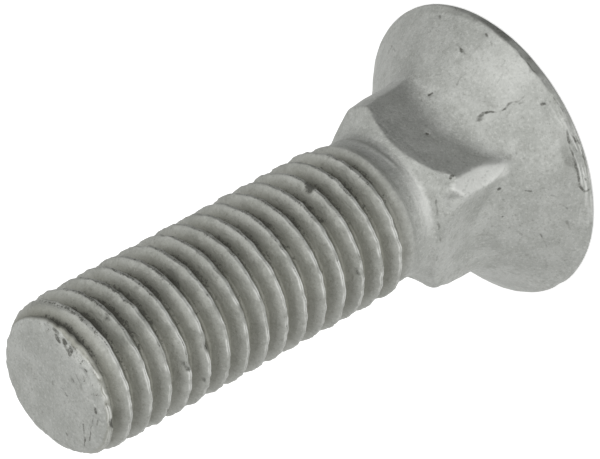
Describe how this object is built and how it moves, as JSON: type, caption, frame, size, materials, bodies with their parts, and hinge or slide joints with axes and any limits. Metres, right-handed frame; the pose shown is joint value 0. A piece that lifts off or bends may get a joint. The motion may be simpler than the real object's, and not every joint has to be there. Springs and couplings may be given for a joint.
{
  "type": "countersunk bolt",
  "caption": "Flat countersunk bolt with a short square neck under the head and a rolled right-hand thread, coated in matt zinc.",
  "frame": {"origin": "centre of the head's flat face, which is the surface that the bolt stands on", "axes": "+Z along the bolt's axis from the head to the threaded end; the square neck's flats face +X, -X, +Y and -Y"},
  "size_m": [0.0184, 0.0184, 0.034],
  "materials": {
    "zinc_steel": "matt hot-dip zinc coating, light grey, with darker thread grooves and brighter worn edges"
  },
  "bodies": {
    "root": {"bolt": "zinc_steel"}
  },
  "joints": []
}
